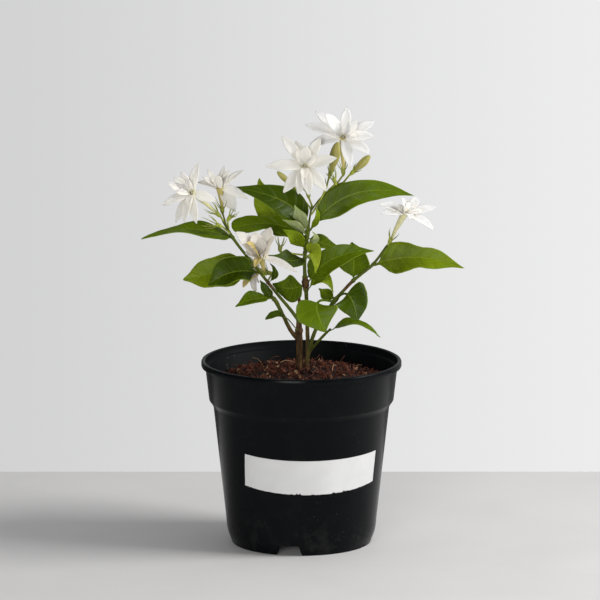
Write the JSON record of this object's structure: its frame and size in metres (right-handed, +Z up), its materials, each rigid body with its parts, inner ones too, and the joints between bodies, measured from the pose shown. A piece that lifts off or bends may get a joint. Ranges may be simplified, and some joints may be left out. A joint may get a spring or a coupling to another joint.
{
  "type": "potted jasmine",
  "caption": "Young jasmine shrub with white star-shaped flowers, glossy green leaves and rooted stems in a round black plastic nursery pot with a plain label.",
  "frame": {"origin": "on the ground, on the axis of the pot, which is the middle of the bottom of the whole part's box", "axes": "+Z up along the pot's axis, +X to the right as seen from the front, -Y towards the front, where the label is"},
  "size_m": [0.2082, 0.13, 0.2876],
  "materials": {
    "pot": "satin black",
    "label": "matt, bare, slightly grey",
    "potting_mix": "loose reddish-brown coir and bark with pale fibres",
    "stem_woody": "brown bark below, green-brown above",
    "stem_centre": "brown at the ground, green above",
    "leaf": "glossy above, paler and matt below",
    "calyx": "light green, matt",
    "petal": "soft white, creamy yellow in the throat",
    "bud": "yellow-green, matt"
  },
  "bodies": {
    "root": {"bud_10": "bud", "bud_8": "bud", "bud_9": "bud", "calyx_1": "calyx", "calyx_10": "calyx", "calyx_11": "calyx", "calyx_12": "calyx", "calyx_13": "calyx", "calyx_14": "calyx", "calyx_15": "calyx", "calyx_2": "calyx", "calyx_3": "calyx", "calyx_4": "calyx", "calyx_5": "calyx", "calyx_6": "calyx", "calyx_7": "calyx", "calyx_8": "calyx", "calyx_9": "calyx", "corolla_1": "petal", "corolla_2": "petal", "corolla_3": "petal", "corolla_4": "petal", "corolla_5": "petal", "corolla_6": "petal", "corolla_7": "petal", "label": "label", "leaf_arched_small": "leaf", "leaf_behind_node": "leaf", "leaf_bright_left": "leaf", "leaf_broad_left": "leaf", "leaf_far_left": "leaf", "leaf_far_right": "leaf", "leaf_front": "leaf", "leaf_front_back": "leaf", "leaf_heart": "leaf", "leaf_left_back": "leaf", "leaf_left_folded": "leaf", "leaf_left_low": "leaf", "leaf_left_small": "leaf", "leaf_left_tiny": "leaf", "leaf_low_right": "leaf", "leaf_middle_left": "leaf", "leaf_middle_right": "leaf", "leaf_middle_right_back": "leaf", "leaf_pale_curl": "leaf", "leaf_pale_side": "leaf", "leaf_pale_upright": "leaf", "leaf_right_upright": "leaf", "leaf_slim_left": "leaf", "leaf_slim_top": "leaf", "leaf_upper_left": "leaf", "leaf_upper_left_back": "leaf", "leaf_upper_right": "leaf", "leaf_wavy_left": "leaf", "leaf_yellow": "leaf", "pot": "pot", "potting_mix": "potting_mix", "stem_centre": "stem_centre", "stem_woody": "stem_woody"}
  },
  "joints": []
}
